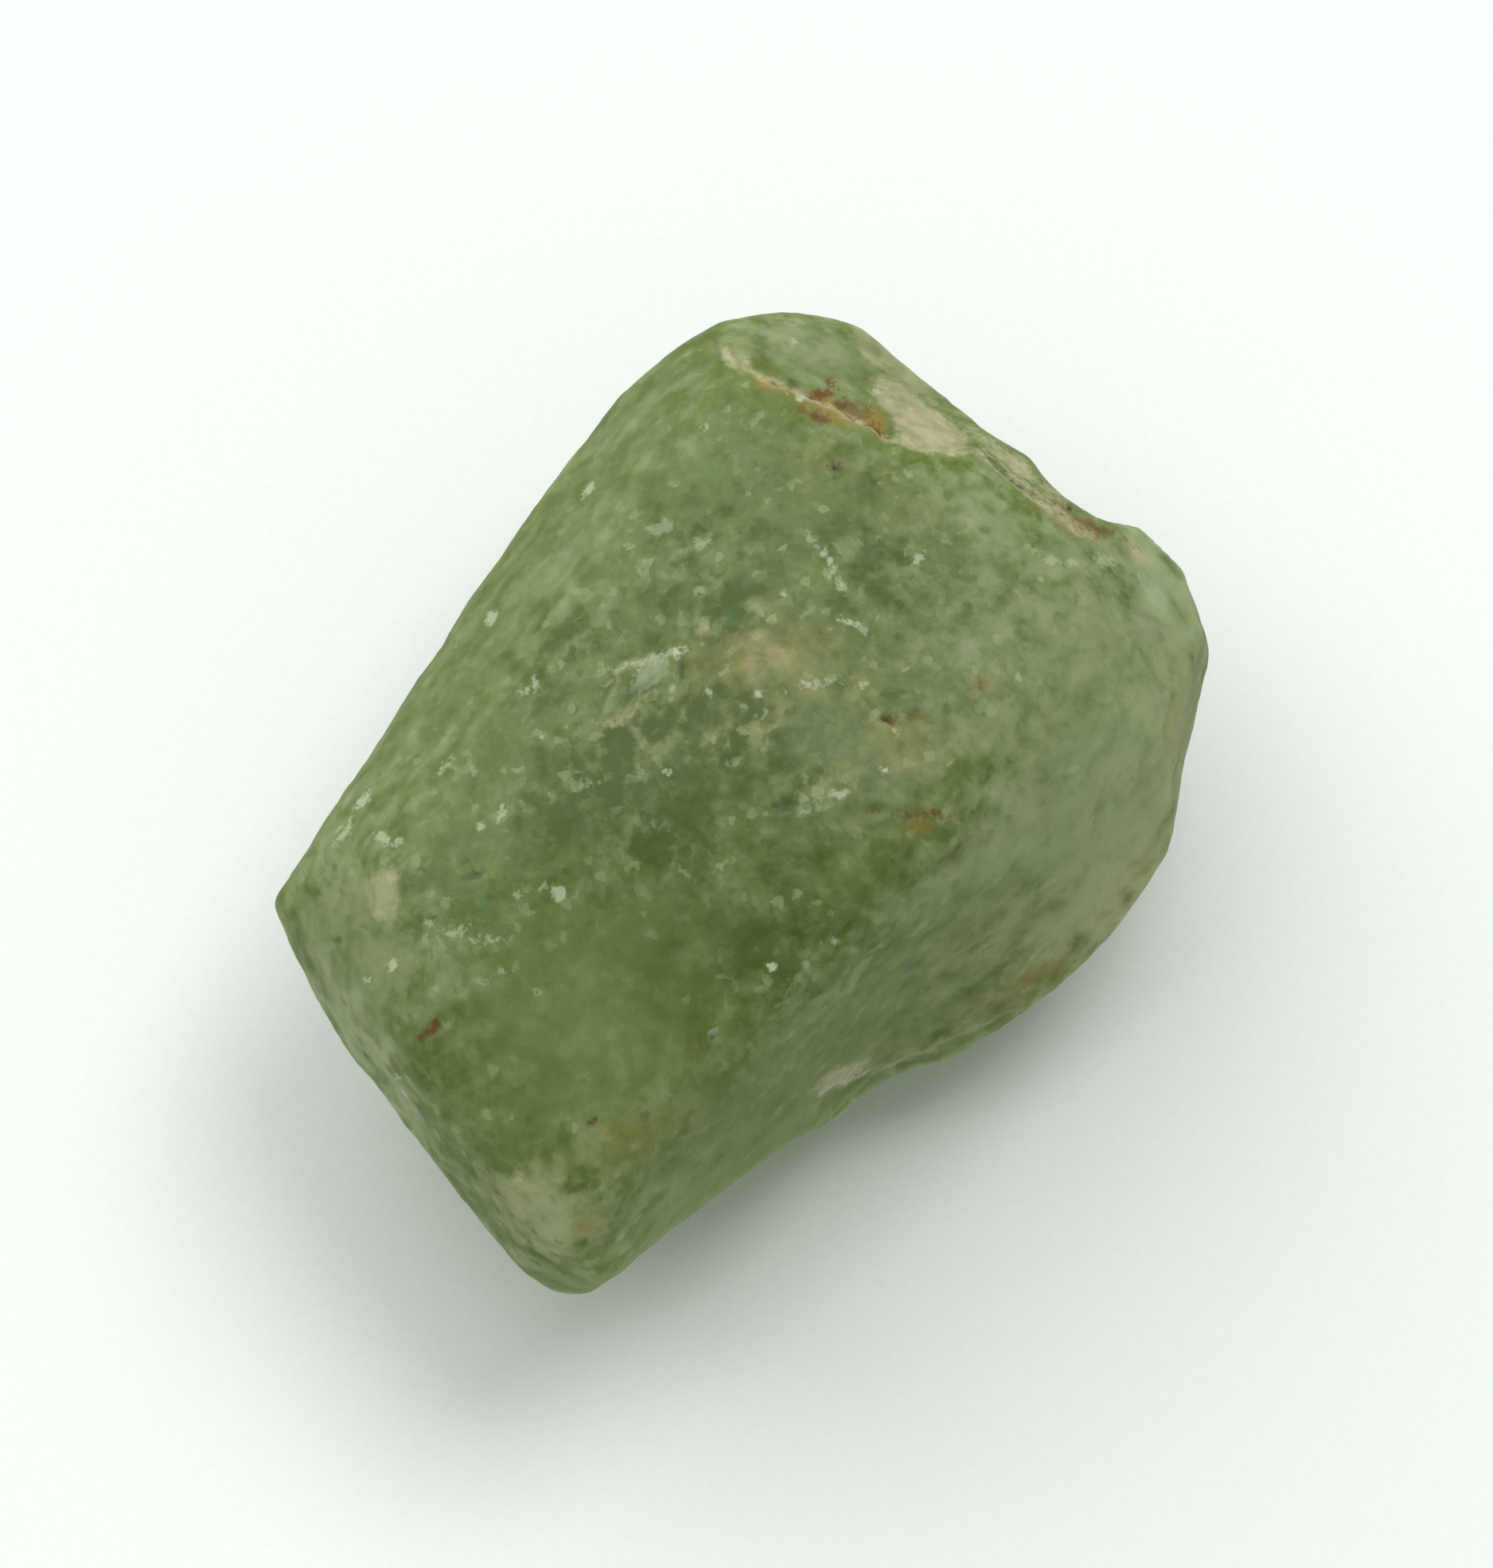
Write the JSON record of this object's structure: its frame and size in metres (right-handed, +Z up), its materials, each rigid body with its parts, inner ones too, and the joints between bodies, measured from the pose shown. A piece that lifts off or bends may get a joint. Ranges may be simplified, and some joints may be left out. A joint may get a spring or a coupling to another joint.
{
  "type": "raw peridot crystal",
  "caption": "Rough gem crystal: a blocky, worn, yellow-green stone with broad flat natural faces, chipped ends and a flat face to rest on.",
  "frame": {"origin": "middle of the underside of the stone's box, on the surface that it rests on", "axes": "+X along the stone's long axis, +Z up from its flat resting face, +Y towards its straight, steep back side"},
  "size_m": [0.0152, 0.011, 0.0084],
  "materials": {
    "peridot": "translucent yellow-green crystal with a worn satin skin, pale fractures and small brown iron stains"
  },
  "bodies": {
    "root": {"peridot": "peridot"}
  },
  "joints": []
}
